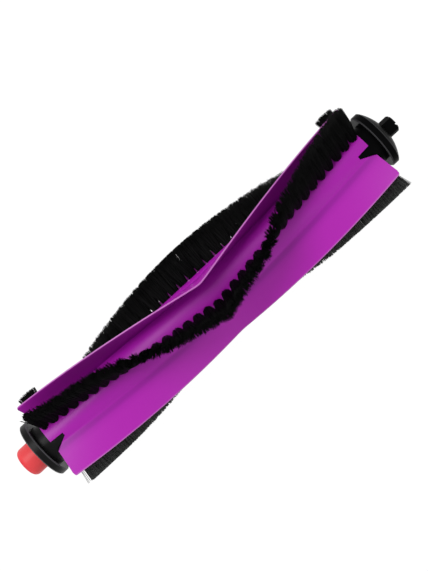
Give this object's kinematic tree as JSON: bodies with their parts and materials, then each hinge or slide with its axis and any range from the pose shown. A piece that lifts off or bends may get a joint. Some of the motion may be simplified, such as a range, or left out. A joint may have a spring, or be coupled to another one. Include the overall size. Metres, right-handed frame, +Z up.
{
  "type": "robot vacuum roller brush",
  "caption": "Roller brush of a robot vacuum: V-shaped rows of black bristle tufts and soft wiper fins round a core, with a square drive stub and a free-turning bearing cap.",
  "frame": {"origin": "centre of the bounding box's bottom face: the floor under the middle of the brush, where it lies on its bristle tips", "axes": "+X along the brush axis towards the drive stub, -X towards the bearing cap, +Z up, -Y towards the viewer of the picture"},
  "size_m": [0.1858, 0.0426, 0.0415],
  "materials": {
    "black_plastic": "matt",
    "end_cap_plastic": "satin",
    "purple_rubber": "satin",
    "red_rubber": "satin",
    "bristles": "satin nylon",
    "steel": "turned",
    "bearing_steel": "ground",
    "cage_plastic": "matt"
  },
  "bodies": {
    "roller": {"core": "black_plastic", "shaft": "steel", "sleeve": "purple_rubber", "drive_end_cap": "end_cap_plastic", "bearing_end_cap": "end_cap_plastic", "bristle_row_1": "bristles", "bristle_row_2": "bristles", "bristle_row_3": "bristles", "guard_tufts": "bristles", "tuft_anchors_1": "steel", "tuft_anchors_2": "steel", "tuft_anchors_3": "steel", "guard_anchors": "steel"},
    "inner_race": {"bearing_inner_ring": "bearing_steel"},
    "ball_set": {"bearing_balls": "bearing_steel", "bearing_cage": "cage_plastic"},
    "end_cap": {"bearing_outer_ring": "bearing_steel", "bearing_shield_inboard": "bearing_steel", "bearing_shield_outboard": "bearing_steel", "bearing_cap": "red_rubber"}
  },
  "joints": [
    {"name": "bearing_pull", "type": "slide", "parent": "roller", "child": "inner_race", "axis": [-1, 0, 0], "range_m": [0, 0.004]},
    {"name": "cap_spin", "type": "hinge", "parent": "inner_race", "child": "end_cap", "pos_m": [-0.0875, 0, 0.02015], "axis": [1, 0, 0], "continuous": true},
    {"name": "ball_spin", "type": "hinge", "parent": "inner_race", "child": "ball_set", "pos_m": [-0.0875, 0, 0.02015], "axis": [1, 0, 0], "continuous": true}
  ],
  "couplings": [
    {"joint": "ball_spin", "follows": "cap_spin", "ratio": 0.6222}
  ]
}
